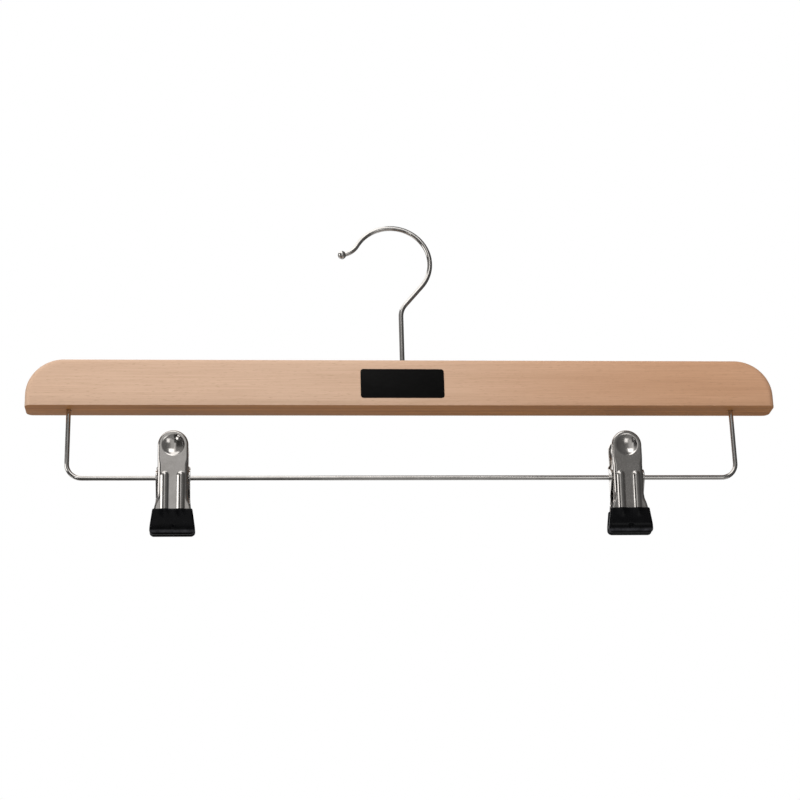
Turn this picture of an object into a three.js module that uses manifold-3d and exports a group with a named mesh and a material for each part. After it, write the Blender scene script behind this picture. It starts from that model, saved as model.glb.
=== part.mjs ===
// A clip hanger: a beech bar with a turning wire hook, and a wire rail under it with two sprung clips.
// Millimetres, +Z up, +X along the bar, -Y towards the front.
// The origin is the point inside the top of the hook that sits on a rod.
import * as THREE from "three";
import { mergeVertices } from "three/addons/utils/BufferGeometryUtils.js";
import Module from "manifold-3d";

const wasm = await Module();
wasm.setup();

// Gap between pieces that touch, press into or turn on each other
const fit = 0.3;

// Wooden bar
const barLength = 451;
const barHeight = 30.3;
const barThickness = 18;
const barShoulder = 22.5; // radius of the two upper corners
const barRound = 4; // rounding of the edges along the ends and the top, front and rear

// Printed label on the bar's front
const labelWidth = 50.4;
const labelHeight = 18.6;
const labelCorner = 1.8;
const labelThickness = 0.2;
const labelShift = -0.95; // from the middle of the bar's length
const labelDrop = 1.15; // below the middle of the bar's height

// Hook
const hookWire = 3;
const hookInner = 22.6; // radius inside the loop
const hookRise = 67; // from the bar's top to the loop's centre
const hookOffset = -5.3; // the loop's centre, from the shank's axis
const neckLean = 40; // degrees from the vertical
const neckRadius = 12.4;
const tailStart = 150; // degrees round the loop
const tailTurn = 43; // degrees that the tail turns back
const tailRadius = 12.5;
const tailLength = 0.3; // straight wire that enters the ball
const ballRadius = 2.6;
const headLip = 1; // how far the upset head stands out from the shank
const headHeight = 1.6;

// Bush that the hook turns in
const bushWall = 1.2;
const bushDepth = 14;

// Rail
const railWire = 2.8;
const railSpan = 400; // between the axes of the legs
const railDrop = 42.8; // from the bar's underside to the rail's axis
const railBend = 9; // radius of the axis at the two corners
const railSink = 12; // how far the legs stand in the bar

// Clips
const leftInset = 62.5; // of the left clip's middle, from its leg of the rail
const rightInset = 66.9;
const tubeWall = 0.5;
const sheet = 0.8; // thickness of the plates
const handleTop = 27.9; // above the rail's axis, along the plate
const handleWidth = 18;
const dimpleRadius = 6.5;
const dimpleDepth = 1.6;
const rimDepth = 2.2; // of the turned edge
const earMargin = 2.3; // round the pivot hole
const earTop = 8.3;
const earBottom = -13; // of the turned edge too
const earClearance = 0.8; // from an ear's lobe to the other plate
const shoulderLength = 2; // from the handle's width to the ears'
const flareTop = -12;
const throatWidth = 21.8; // of the jaw at the grip's upper edge
const jawWidth = 24; // above its lower corners
const jawCorner = 2;
const jawBend = 29.8; // below the rail's axis, along the plate
const lipLength = 4.3;
const lipAngle = 20; // degrees that the lip turns inwards
const jawGap = 0.3; // between the closed grips
const ribSpacing = 9.5;
const ribWidth = 4.5;
const ribRise = 1.1;
const ribTop = 2.5;
const ribBottom = -25;

// Vinyl grips
const gripWall = 1;
const gripEdge = 0.5; // wall at the upper edge
const gripTop = -20;
const gripCorner = 3;

// Torsion springs
const springWire = 1.2;
const springTurns = 4; // whole turns, before the half turn between the legs
const springSpace = 0.6; // between neighbouring turns
const springClearance = 0.45; // from the pivot tube to the coil

// Facets
const wireSides = 12;
const wireTurn = 40; // steps of a wire in a whole turn
const holeSides = 16;
const arcSteps = 6; // per half of a round stretch of an outline
const roundSteps = 4;
const ballSides = 16;
const ballRings = 10;
const capSides = 24;
const capRings = 4;
const ribSides = 16;
const ribRings = 3;
const curlSteps = 8;
const curlSides = 5;
const gapSamples = 12; // points on each step of a spring, for its gap

// How far a cut runs past the face that it opens
const overshoot = 1;

const radians = THREE.MathUtils.degToRad;

// Sizes that follow from the ones above
const hookRadius = hookInner + hookWire / 2;
const shankRadius = hookWire / 2;
const bushInner = shankRadius + fit;
const bushOuter = bushInner + bushWall;
const headRadius = shankRadius + headLip;
const loopHeight = barHeight + hookRise;
const tubeInner = railWire / 2 + fit;
const tubeOuter = tubeInner + tubeWall;
const pivotHole = tubeOuter + fit;
const earRadius = pivotHole + earMargin;
const plateStand = earRadius + earClearance + sheet / 2; // from the rail's axis to the middle of a plate
const frontEar = handleWidth / 2; // outer face of the front plate's ears
const rearEar = frontEar + fit + sheet; // outer face of the rear plate's ears
const gripHalf = sheet / 2 + fit + gripWall;
const ribRadius = ((ribWidth / 2) ** 2 + ribRise ** 2) / (2 * ribRise);
const springRadius = tubeOuter + springClearance + springWire / 2;
const dimpleHeight = handleTop - handleWidth / 2; // the dimple and the handle's round end share a centre
const springLeg = dimpleHeight - dimpleRadius - sheet - springWire; // each leg ends under the dimple

// A plate leans until the end of its lip is as far from the clip's middle as its grip allows.
const lipInset = lipLength * Math.sin(radians(lipAngle));
const lipDrop = lipLength * Math.cos(radians(lipAngle));
const lipReach = Math.hypot(plateStand - lipInset, jawBend + lipDrop);
const lipBearing = Math.atan2(jawBend + lipDrop, plateStand - lipInset);
const plateLean = Math.acos((jawGap / 2 + gripHalf) / lipReach) - lipBearing;

// Bounds that lie clear outside a plate on every side
const throughPlate = 4 * plateStand;
const underPlate = -2 * (jawBend + lipDrop);
const besidePlate = jawWidth;

// A closed geometry as a solid that can be joined and cut
function solidOf(geometry) {
  const bare = geometry.clone();
  bare.deleteAttribute("normal");
  bare.deleteAttribute("uv");
  const merged = mergeVertices(bare, 1e-4);
  const vertProperties = new Float32Array(merged.attributes.position.array);
  const triVerts = new Uint32Array(merged.index.array);
  return new wasm.Manifold(new wasm.Mesh({ numProp: 3, vertProperties, triVerts }));
}

function geometryOf(solid) {
  const { vertProperties, triVerts } = solid.getMesh();
  const geometry = new THREE.BufferGeometry();
  geometry.setAttribute("position", new THREE.BufferAttribute(vertProperties, 3));
  geometry.setIndex(new THREE.BufferAttribute(triVerts, 1));
  return geometry;
}

// A shape drawn in x and z, as thick as depth and centred on y = 0
function frontPrism(shape, depth, options = {}) {
  const geometry = new THREE.ExtrudeGeometry(shape, { bevelEnabled: false, depth, ...options });
  geometry.computeBoundingBox();
  const { min, max } = geometry.boundingBox;
  return geometry.translate(0, 0, -(min.z + max.z) / 2).rotateX(Math.PI / 2);
}

// A shape drawn in y and z, from x = from to x = to
function sidePrism(shape, from, to, curveSegments = arcSteps) {
  const options = { bevelEnabled: false, depth: to - from, curveSegments };
  const geometry = new THREE.ExtrudeGeometry(shape, options).translate(0, 0, from);
  const turned = new THREE.Matrix4().makeBasis(
    new THREE.Vector3(0, 1, 0),
    new THREE.Vector3(0, 0, 1),
    new THREE.Vector3(1, 0, 0),
  );
  return geometry.applyMatrix4(turned);
}

// A box between two corners
function boxBetween(low, high) {
  const size = high.map((value, axis) => value - low[axis]);
  const middle = high.map((value, axis) => (value + low[axis]) / 2);
  return new THREE.BoxGeometry(...size).translate(...middle);
}

function rodAlongX(radius, length) {
  return new THREE.CylinderGeometry(radius, radius, length, holeSides).rotateZ(Math.PI / 2);
}

function rodAlongZ(radius, low, high) {
  const rod = new THREE.CylinderGeometry(radius, radius, high - low, holeSides);
  return rod.rotateX(Math.PI / 2).translate(0, 0, (low + high) / 2);
}

function roundedRectangle(width, height, corner) {
  const x = width / 2 - corner;
  const z = height / 2 - corner;
  return new THREE.Shape()
    .absarc(x, z, corner, 0, Math.PI / 2)
    .absarc(-x, z, corner, Math.PI / 2, Math.PI)
    .absarc(-x, -z, corner, Math.PI, 1.5 * Math.PI)
    .absarc(x, -z, corner, 1.5 * Math.PI, 2 * Math.PI);
}

// A route made of stretches, each a function of 0 to 1 with its own number of steps
class Route extends THREE.Curve {
  constructor(stretches) {
    super();
    this.stretches = stretches;
    this.steps = stretches.reduce((sum, stretch) => sum + stretch.steps, 0);
  }
  getPoint(t, target = new THREE.Vector3()) {
    let left = t * this.steps;
    for (const stretch of this.stretches) {
      if (left <= stretch.steps || stretch === this.stretches.at(-1)) {
        return target.copy(stretch.at(left / stretch.steps));
      }
      left -= stretch.steps;
    }
  }
  // Points fall on the steps, not at even distances.
  getUtoTmapping(u) {
    return u;
  }
}

function straight(from, to) {
  return { steps: 1, at: (t) => new THREE.Vector3().lerpVectors(from, to, t) };
}

// An arc in x and z, between two angles in radians
function bend(centre, radius, from, to) {
  const steps = Math.ceil((wireTurn * Math.abs(to - from)) / (2 * Math.PI));
  const at = (t) => {
    const angle = from + (to - from) * t;
    const [x, z] = [radius * Math.cos(angle), radius * Math.sin(angle)];
    return new THREE.Vector3(centre.x + x, 0, centre.z + z);
  };
  return { steps, at };
}

function wireAlong(route, radius, sides) {
  const section = new THREE.Shape().absarc(0, 0, radius, 0, 2 * Math.PI);
  const options = { steps: route.steps, extrudePath: route, curveSegments: sides / 2 };
  return new THREE.ExtrudeGeometry(section, options);
}

// Wooden bar with a flat underside, bored for the hook's bush and the rail's legs
function barGeometry() {
  const half = barLength / 2;
  const shoulder = Math.min(barShoulder, barHeight); // no larger than its wall
  const inner = half - shoulder;
  const shoulderHeight = barHeight - shoulder;
  const below = -barRound - overshoot; // a strip that is cut off, so that the underside has no rounding
  const outline = new THREE.Shape()
    .moveTo(-half, below)
    .lineTo(half, below)
    .lineTo(half, shoulderHeight)
    .absarc(inner, shoulderHeight, shoulder, 0, Math.PI / 2)
    .absarc(-inner, shoulderHeight, shoulder, Math.PI / 2, Math.PI);
  const rounded = {
    bevelEnabled: true,
    bevelThickness: barRound,
    bevelSize: barRound,
    bevelOffset: -barRound,
    bevelSegments: roundSteps,
    curveSegments: arcSteps,
  };
  const block = solidOf(frontPrism(outline, barThickness - 2 * barRound, rounded)).trimByPlane([0, 0, 1], 0);
  const hookBore = bushDepth + headHeight + 2 * fit;
  const bore = solidOf(rodAlongZ(bushOuter + fit, barHeight - hookBore, barHeight + overshoot));
  const legs = [-1, 1].map((side) => {
    const hole = rodAlongZ(railWire / 2 + fit, -overshoot, railSink + fit);
    return solidOf(hole.translate((side * railSpan) / 2, 0, 0));
  });
  return geometryOf(block.subtract(bore).subtract(legs[0]).subtract(legs[1]));
}

function labelGeometry() {
  const outline = roundedRectangle(labelWidth, labelHeight, labelCorner);
  return frontPrism(outline, labelThickness, { curveSegments: arcSteps / 2 });
}

// Hook: shank, neck, leaning stretch, loop and a tail that turns back into the ball
function hookGeometry() {
  const lean = radians(neckLean);
  const loop = new THREE.Vector3(hookOffset, 0, loopHeight);
  const loopStart = bend(loop, hookRadius, -lean, radians(tailStart));
  const foot = loopStart.at(0);
  const corner = foot.z - foot.x / Math.tan(lean);
  const neckBottom = corner - neckRadius * Math.tan(lean / 2);
  const neckCentre = new THREE.Vector3(neckRadius, 0, neckBottom);
  const neck = bend(neckCentre, neckRadius, Math.PI, Math.PI - lean);
  const shankBottom = barHeight - bushDepth - fit - headHeight;
  const leave = radians(tailStart);
  const tailReach = hookRadius + tailRadius;
  const tailCentre = new THREE.Vector3(Math.cos(leave), 0, Math.sin(leave));
  tailCentre.multiplyScalar(tailReach).add(loop);
  const tail = bend(tailCentre, tailRadius, leave + Math.PI, leave + Math.PI - radians(tailTurn));
  const tailHeading = leave + Math.PI / 2 - radians(tailTurn);
  const ball = new THREE.Vector3(Math.cos(tailHeading), 0, Math.sin(tailHeading));
  ball.multiplyScalar(tailLength + ballRadius).add(tail.at(1));
  const route = new Route([
    straight(new THREE.Vector3(0, 0, shankBottom), neck.at(0)),
    neck,
    straight(neck.at(1), foot),
    loopStart,
    tail,
    straight(tail.at(1), ball),
  ]);
  const head = rodAlongZ(headRadius, shankBottom, shankBottom + headHeight);
  const knob = new THREE.SphereGeometry(ballRadius, ballSides, ballRings).translate(...ball);
  const wire = solidOf(wireAlong(route, shankRadius, wireSides));
  return geometryOf(wire.add(solidOf(head)).add(solidOf(knob)));
}

// A hollow rod standing on z = 0
function sleeveGeometry(inner, outer, length) {
  const ring = new THREE.Shape().absarc(0, 0, outer, 0, 2 * Math.PI);
  ring.holes.push(new THREE.Path().absarc(0, 0, inner, 0, 2 * Math.PI, true));
  const options = { bevelEnabled: false, depth: length, curveSegments: holeSides / 2 };
  return new THREE.ExtrudeGeometry(ring, options);
}

function railGeometry() {
  const half = railSpan / 2;
  const straightHalf = half - railBend;
  const bendHeight = railBend - railDrop;
  const leftCentre = new THREE.Vector3(-straightHalf, 0, bendHeight);
  const leftBend = bend(leftCentre, railBend, Math.PI, 1.5 * Math.PI);
  const rightCentre = new THREE.Vector3(straightHalf, 0, bendHeight);
  const rightBend = bend(rightCentre, railBend, -Math.PI / 2, 0);
  const route = new Route([
    straight(new THREE.Vector3(-half, 0, railSink), leftBend.at(0)),
    leftBend,
    straight(leftBend.at(1), rightBend.at(0)),
    rightBend,
    straight(rightBend.at(1), new THREE.Vector3(half, 0, railSink)),
  ]);
  return wireAlong(route, railWire / 2, wireSides);
}

// The plates and grips are drawn upright, with the rail's axis at the origin and the plate at -plateStand.

// Side view of the sheet: a straight wall and a lip, of half thickness half, longer at its end by extra
function sheetProfile(half, top, extra) {
  const angle = radians(lipAngle);
  const mitre = half * Math.tan(angle / 2);
  const [across, along] = [Math.cos(angle), Math.sin(angle)];
  const endY = -plateStand + lipInset + extra * along;
  const endZ = -jawBend - lipDrop - extra * across;
  return new THREE.Shape()
    .moveTo(-plateStand - half, top)
    .lineTo(-plateStand - half, -jawBend - mitre)
    .lineTo(endY - half * across, endZ - half * along)
    .lineTo(endY + half * across, endZ + half * along)
    .lineTo(-plateStand + half, -jawBend + mitre)
    .lineTo(-plateStand + half, top);
}

// Front view of a plate with its ears' outer faces at +-ear, grown by a gap on every side
function plateOutline(ear, grow) {
  const handle = handleWidth / 2 + grow;
  const side = ear + grow;
  const throat = throatWidth / 2 + grow;
  const jaw = jawWidth / 2 + grow;
  const bottom = -jawBend - lipDrop - sheet - grow; // under the lip's slanted end
  const corner = jawCorner + grow;
  const shoulder = earTop + shoulderLength;
  return new THREE.Shape()
    .absarc(0, dimpleHeight, handle, 0, Math.PI)
    .lineTo(-handle, shoulder)
    .lineTo(-side, earTop)
    .lineTo(-side, flareTop)
    .lineTo(-throat, gripTop)
    .absarc(-jaw + corner, bottom + corner, corner, Math.PI, 1.5 * Math.PI)
    .absarc(jaw - corner, bottom + corner, corner, 1.5 * Math.PI, 2 * Math.PI)
    .lineTo(throat, gripTop)
    .lineTo(side, flareTop)
    .lineTo(side, earTop)
    .lineTo(handle, shoulder);
}

// Side view of an ear: a lobe round the pivot hole, joined to the plate by its two tangents
function earProfile() {
  const tangent = (z, side) => {
    const reach = Math.hypot(plateStand, z);
    return Math.atan2(z, -plateStand) - side * Math.acos(earRadius / reach);
  };
  return new THREE.Shape()
    .moveTo(-plateStand, earBottom)
    .lineTo(-plateStand, earTop)
    .absarc(0, 0, earRadius, tangent(earTop, 1), tangent(earBottom, -1), true);
}

// The cap of a ball on the dimple's axis, between its flat side at y = base and its tip
function dimpleCap(radius, tip, base) {
  const centre = tip - radius;
  const open = Math.acos((base - centre) / radius);
  const profile = [];
  for (let ring = 0; ring <= capRings; ring += 1) {
    const angle = (open * ring) / capRings;
    profile.push(new THREE.Vector2(radius * Math.sin(angle), centre + radius * Math.cos(angle)));
  }
  profile[0].x = 0;
  profile.push(new THREE.Vector2(0, base));
  const cap = new THREE.LatheGeometry(profile.reverse(), capSides);
  return cap.translate(0, 0, dimpleHeight);
}

// A round-ended rod inside a rib, larger than the rib's own radius by grow
function ribRod(side, grow) {
  const radius = ribRadius + grow;
  const [low, high] = [ribBottom + ribWidth / 2, ribTop - ribWidth / 2];
  const profile = [];
  for (let ring = 0; ring <= ribRings; ring += 1) {
    const angle = (Math.PI / 2) * (ring / ribRings);
    profile.push(new THREE.Vector2(radius * Math.sin(angle), low - radius * Math.cos(angle)));
  }
  for (let ring = ribRings; ring >= 0; ring -= 1) {
    const angle = (Math.PI / 2) * (ring / ribRings);
    profile.push(new THREE.Vector2(radius * Math.sin(angle), high + radius * Math.cos(angle)));
  }
  profile[0].x = 0;
  profile.at(-1).x = 0;
  const rod = new THREE.LatheGeometry(profile, ribSides).rotateX(Math.PI / 2);
  const depth = plateStand + sheet / 2 + ribRise - ribRadius;
  return solidOf(rod.translate((side * ribSpacing) / 2, -depth, 0));
}

// What lies in front of the middle of the plate, below a height
function aheadOfPlate(top) {
  const low = [-besidePlate, -throughPlate, underPlate];
  return solidOf(boxBetween(low, [besidePlate, -plateStand, top]));
}

// One stamped plate: wall and lip, turned edge, ears, thumb dimple and ribs
function plateGeometry(ear) {
  const front = -plateStand - sheet / 2;
  const top = handleTop + overshoot;
  const rounded = { curveSegments: arcSteps };
  const outline = solidOf(frontPrism(plateOutline(ear, 0), throughPlate, rounded));
  const inside = solidOf(frontPrism(plateOutline(ear, -sheet), 2 * throughPlate, rounded));
  const rimLow = [-besidePlate, front, earBottom];
  const rimSpace = solidOf(boxBetween(rimLow, [besidePlate, front + rimDepth, top]));
  const wall = solidOf(sidePrism(sheetProfile(sheet / 2, top, 0), -besidePlate, besidePlate));
  let plate = wall.intersect(outline).add(outline.subtract(inside).intersect(rimSpace));
  for (const side of [-1, 1]) {
    const faces = [side * ear, side * (ear - sheet)].sort((a, b) => a - b);
    plate = plate.add(solidOf(sidePrism(earProfile(), ...faces)));
    plate = plate.add(ribRod(side, 0).intersect(aheadOfPlate(ribTop + overshoot)));
    plate = plate.subtract(ribRod(side, -sheet));
  }
  const dentRadius = (dimpleRadius ** 2 + dimpleDepth ** 2) / (2 * dimpleDepth);
  const dentTip = front + dimpleDepth;
  const dent = solidOf(dimpleCap(dentRadius, dentTip, front - overshoot));
  const bulge = solidOf(dimpleCap(dentRadius + sheet, dentTip + sheet, -plateStand));
  const hole = solidOf(rodAlongX(pivotHole, 2 * (ear + overshoot)));
  return geometryOf(plate.add(bulge).subtract(dent).subtract(hole));
}

// Front view of a grip
function gripOutline() {
  const top = throatWidth / 2 + fit + gripEdge;
  const full = jawWidth / 2 + fit + gripWall;
  const lip = radians(lipAngle);
  const endWall = (fit + gripWall) * Math.cos(lip) + gripHalf * Math.sin(lip);
  const bottom = -jawBend - lipDrop - endWall;
  return new THREE.Shape()
    .moveTo(top, gripTop)
    .lineTo(-top, gripTop)
    .absarc(-full + gripCorner, bottom + gripCorner, gripCorner, Math.PI, 1.5 * Math.PI)
    .absarc(full - gripCorner, bottom + gripCorner, gripCorner, 1.5 * Math.PI, 2 * Math.PI);
}

// A vinyl grip: a pocket that follows the jaw and its ribs, flat where the two grips close on each other
function gripGeometry(ear) {
  const open = gripTop + overshoot;
  const rounded = { curveSegments: arcSteps / 2 };
  const outer = sheetProfile(gripHalf, gripTop, fit + gripWall);
  const inner = sheetProfile(sheet / 2 + fit, open, fit);
  const pocketOutline = solidOf(frontPrism(plateOutline(ear, fit), throughPlate, rounded));
  let grip = solidOf(sidePrism(outer, -besidePlate, besidePlate));
  let pocket = solidOf(sidePrism(inner, -besidePlate, besidePlate)).intersect(pocketOutline);
  for (const side of [-1, 1]) {
    grip = grip.add(ribRod(side, fit + gripWall).intersect(aheadOfPlate(gripTop)));
    pocket = pocket.add(ribRod(side, fit).intersect(aheadOfPlate(open)));
  }
  const outline = solidOf(frontPrism(gripOutline(), throughPlate, rounded));
  const beyondLow = [-besidePlate, -jawGap / 2, underPlate];
  const beyond = boxBetween(beyondLow, [besidePlate, throughPlate, 0]).rotateX(-plateLean);
  return geometryOf(grip.intersect(outline).subtract(pocket).subtract(solidOf(beyond)));
}

// Torsion spring: a leg against the front plate, turns round the pivot tube, a leg against the rear plate
function springRoute() {
  const seat = plateStand - sheet / 2 - fit - springWire / 2;
  const legReach = Math.hypot(springRadius, springLeg);
  const legLean = Math.atan2(springLeg, springRadius) - Math.acos(seat / legReach) + plateLean;
  const sweep = 2 * Math.PI * springTurns + Math.PI - 2 * legLean;
  const length = (springWire + springSpace) * (sweep / (2 * Math.PI));
  const at = (t) => {
    const angle = legLean + sweep * t;
    const [y, z] = [-springRadius * Math.cos(angle), -springRadius * Math.sin(angle)];
    return new THREE.Vector3(length * (t - 0.5), y, z);
  };
  const legEnd = (side) => {
    const y = side * (springRadius * Math.cos(legLean) + springLeg * Math.sin(legLean));
    const z = springLeg * Math.cos(legLean) - springRadius * Math.sin(legLean);
    return new THREE.Vector3((side * length) / 2, y, z);
  };
  const coil = { steps: Math.round((curlSteps * sweep) / (2 * Math.PI)), at };
  return new Route([straight(legEnd(-1), at(0)), coil, straight(at(1), legEnd(1))]);
}

// The least gap between stretches of a wire that are more than half a turn apart, measured on points
function leastGap(route, wire, apart) {
  const points = route.getPoints(route.steps * gapSamples);
  const runs = [0];
  for (let i = 1; i < points.length; i += 1) {
    runs.push(runs[i - 1] + points[i].distanceTo(points[i - 1]));
  }
  let least = Infinity;
  for (let i = 0; i < points.length; i += 1) {
    for (let j = i + 1; j < points.length; j += 1) {
      if (runs[j] - runs[i] > apart) {
        least = Math.min(least, points[i].distanceTo(points[j]) - wire);
      }
    }
  }
  return least;
}

function finish(color, roughness, metalness) {
  return new THREE.MeshStandardMaterial({ color, roughness, metalness, flatShading: true });
}

function piece(name, geometry, material) {
  geometry.computeVertexNormals();
  const mesh = new THREE.Mesh(geometry, material);
  mesh.name = name;
  return mesh;
}

const beech = finish(0xcda88a, 0.55, 0);
const blackPrint = finish(0x161414, 0.5, 0);
const brightWire = finish(0xc4c2be, 0.22, 1);
const bushSteel = finish(0xb0aeaa, 0.35, 1);
const plateNickel = finish(0xb9b7b4, 0.28, 1);
const springSteel = finish(0xa3a19e, 0.3, 1);
const blackVinyl = finish(0x17171a, 0.35, 0);

// One clip, with its middle on the rail's axis
function clip(side) {
  const group = new THREE.Group();
  const tube = sleeveGeometry(tubeInner, tubeOuter, 2 * rearEar).translate(0, 0, -rearEar);
  tube.rotateY(Math.PI / 2);
  group.add(piece(`${side}_pivot_tube`, tube, bushSteel.clone()));
  const spring = wireAlong(springRoute(), springWire / 2, curlSides);
  group.add(piece(`${side}_spring`, spring, springSteel.clone()));
  const faces = { front: frontEar, rear: rearEar };
  for (const [face, ear] of Object.entries(faces)) {
    const half = new THREE.Group();
    half.rotation.z = face === "front" ? 0 : Math.PI;
    const leaning = new THREE.Group();
    leaning.rotation.x = plateLean;
    leaning.add(piece(`${side}_${face}_plate`, plateGeometry(ear), plateNickel.clone()));
    leaning.add(piece(`${side}_${face}_grip`, gripGeometry(ear), blackVinyl.clone()));
    half.add(leaning);
    group.add(half);
  }
  return group;
}

// Where the clips stand along the rail
const clipPlaces = { left: leftInset - railSpan / 2, right: railSpan / 2 - rightInset };

const hanger = new THREE.Group();
const assembly = new THREE.Group();
assembly.position.set(-hookOffset, 0, -(loopHeight + hookInner));
hanger.add(assembly);

assembly.add(piece("wooden_bar", barGeometry(), beech));
assembly.add(piece("swivel_hook", hookGeometry(), brightWire.clone()));
assembly.add(piece("trouser_rail", railGeometry(), brightWire.clone()));

const bush = piece("hook_bush", sleeveGeometry(bushInner, bushOuter, bushDepth), bushSteel.clone());
bush.position.z = barHeight - bushDepth;
assembly.add(bush);

const label = piece("label", labelGeometry(), blackPrint);
label.position.set(labelShift, -(barThickness + labelThickness) / 2, barHeight / 2 - labelDrop);
assembly.add(label);

for (const [side, x] of Object.entries(clipPlaces)) {
  const mounted = clip(side);
  mounted.position.set(x, 0, -railDrop);
  assembly.add(mounted);
}

const springGap = leastGap(springRoute(), springWire, Math.PI * springRadius);
console.log(`least gap of a spring to itself ${springGap.toFixed(2)} mm`);

export default hanger;
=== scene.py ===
import math

import bmesh
import bpy
from mathutils import Matrix, Vector


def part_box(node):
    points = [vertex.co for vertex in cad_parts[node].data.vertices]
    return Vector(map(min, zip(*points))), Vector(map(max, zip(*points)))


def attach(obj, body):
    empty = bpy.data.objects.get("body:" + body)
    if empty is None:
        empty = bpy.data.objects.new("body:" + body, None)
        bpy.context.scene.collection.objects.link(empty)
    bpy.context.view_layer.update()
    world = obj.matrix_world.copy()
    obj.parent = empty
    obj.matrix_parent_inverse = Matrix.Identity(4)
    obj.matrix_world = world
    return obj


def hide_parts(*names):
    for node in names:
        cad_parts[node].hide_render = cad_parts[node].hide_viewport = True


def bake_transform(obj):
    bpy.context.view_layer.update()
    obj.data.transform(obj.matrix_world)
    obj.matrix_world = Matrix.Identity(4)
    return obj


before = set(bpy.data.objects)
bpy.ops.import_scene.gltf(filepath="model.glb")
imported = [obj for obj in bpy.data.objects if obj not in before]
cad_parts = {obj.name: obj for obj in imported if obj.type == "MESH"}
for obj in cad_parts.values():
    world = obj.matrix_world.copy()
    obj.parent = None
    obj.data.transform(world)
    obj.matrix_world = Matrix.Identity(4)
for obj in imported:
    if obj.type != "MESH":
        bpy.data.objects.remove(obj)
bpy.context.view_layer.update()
print("frame loaded")

# Meshes are drawn in millimetres from the middle of the bar's underside,
# and toObject brings them to metres and to their place
mm = 0.001
barLow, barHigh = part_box("wooden_bar")
barFoot = Vector(((barLow.x + barHigh.x) / 2, 0, barLow.z))
barHeight = (barHigh.z - barLow.z) / mm
fit = 0.3  # gap between pieces that press into or turn on each other
overshoot = 1  # how far a cutter stands out of what it cuts
upward = Vector((0, 0, 1))


# A direction seen from the object: azimuth 0 is in front and positive to the right, in degrees
def towards(azimuth, elevation):
    azimuth, elevation = math.radians(azimuth), math.radians(elevation)
    level = math.cos(elevation)
    return Vector((math.sin(azimuth) * level, -math.cos(azimuth) * level, math.sin(elevation)))


# Camera

shot = {
    "azimuth": -4.5593,  # degrees, from straight ahead
    "elevation": -20.9214,  # from a little below, looking up
    "roll": -1.5538,
    "distance": 1.22024,
    "target": Vector((0.003323, 0, -0.113074)),
    "lens": 90.934,
    "sensor": 36,
}


def makeCamera():
    azimuth, roll = math.radians(shot["azimuth"]), math.radians(shot["roll"])
    back = towards(shot["azimuth"], shot["elevation"])
    level = Vector((math.cos(azimuth), math.sin(azimuth), 0))
    upright = back.cross(level)
    across = level * math.cos(roll) + upright * math.sin(roll)
    aloft = upright * math.cos(roll) - level * math.sin(roll)
    data = bpy.data.cameras.new("camera")
    data.lens = shot["lens"]
    data.sensor_width = shot["sensor"]
    camera = bpy.data.objects.new("camera", data)
    turn = Matrix((across, aloft, back)).transposed().to_4x4()
    camera.matrix_world = Matrix.Translation(shot["target"] + back * shot["distance"]) @ turn
    bpy.context.scene.collection.objects.link(camera)
    bpy.context.scene.camera = camera


makeCamera()
print("camera set")


# Nodes of a material

def newMaterial(name):
    material = bpy.data.materials.new(name)
    material.use_nodes = True
    return material, material.node_tree.nodes, material.node_tree.links


def addNode(nodes, kind, inputs=None, **settings):
    node = nodes.new(kind)
    for key, value in settings.items():
        setattr(node, key, value)
    for key, value in (inputs or {}).items():
        node.inputs[key].default_value = value
    return node


# A noise on the piece's own coordinates, stretched by a scale for each axis
def stretchedNoise(nodes, links, scale, detail=3, roughness=0.6):
    place = addNode(nodes, "ShaderNodeTexCoord")
    stretch = addNode(nodes, "ShaderNodeMapping", {"Scale": scale})
    grain = {"Scale": 1, "Detail": detail, "Roughness": roughness}
    noise = addNode(nodes, "ShaderNodeTexNoise", grain)
    links.new(place.outputs["Object"], stretch.inputs["Vector"])
    links.new(stretch.outputs["Vector"], noise.inputs["Vector"])
    return noise.outputs["Fac"]


# How far one axis of the piece's place or normal has come from one value to another
def axisShare(nodes, links, kind, axis, span, blend="LINEAR"):
    source = addNode(nodes, "ShaderNodeTexCoord")
    axes = addNode(nodes, "ShaderNodeSeparateXYZ")
    ends = {"From Min": span[0], "From Max": span[1]}
    share = addNode(nodes, "ShaderNodeMapRange", ends, interpolation_type=blend)
    links.new(source.outputs[kind], axes.inputs["Vector"])
    links.new(axes.outputs[axis], share.inputs["Value"])
    return share.outputs["Result"]


def ramp(nodes, links, value, *stops):
    node = addNode(nodes, "ShaderNodeValToRGB")
    elements = node.color_ramp.elements
    while len(elements) < len(stops):
        elements.new(0.5)
    for element, (place, colour) in zip(elements, stops):
        element.position = place
        element.color = (*colour, 1) if len(colour) == 3 else (colour[0],) * 3 + (1,)
    links.new(value, node.inputs["Fac"])
    return node.outputs["Color"]


def spread(nodes, links, value, low, high):
    node = addNode(nodes, "ShaderNodeMapRange", {"To Min": low, "To Max": high})
    links.new(value, node.inputs["Value"])
    return node.outputs["Result"]


def mixed(nodes, links, share, first, second, blend="MIX"):
    node = addNode(nodes, "ShaderNodeMix", data_type="RGBA", blend_type=blend)
    for socket, value in zip(("Factor", "A", "B"), (share, first, second)):
        target = next(i for i in node.inputs if i.name == socket and i.enabled)
        if isinstance(value, bpy.types.NodeSocket):
            links.new(value, target)
        else:
            target.default_value = value
    return next(o for o in node.outputs if o.enabled)


def bumped(nodes, links, height, strength, distance, before=None):
    node = addNode(nodes, "ShaderNodeBump", {"Strength": strength, "Distance": distance})
    links.new(height, node.inputs["Height"])
    if before is not None:
        links.new(before, node.inputs["Normal"])
    return node.outputs["Normal"]


# Beech: broad bands, fine fibres along the bar, and short dark flecks, with painted light and shade
# along the bar and painted shade on the underside

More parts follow.
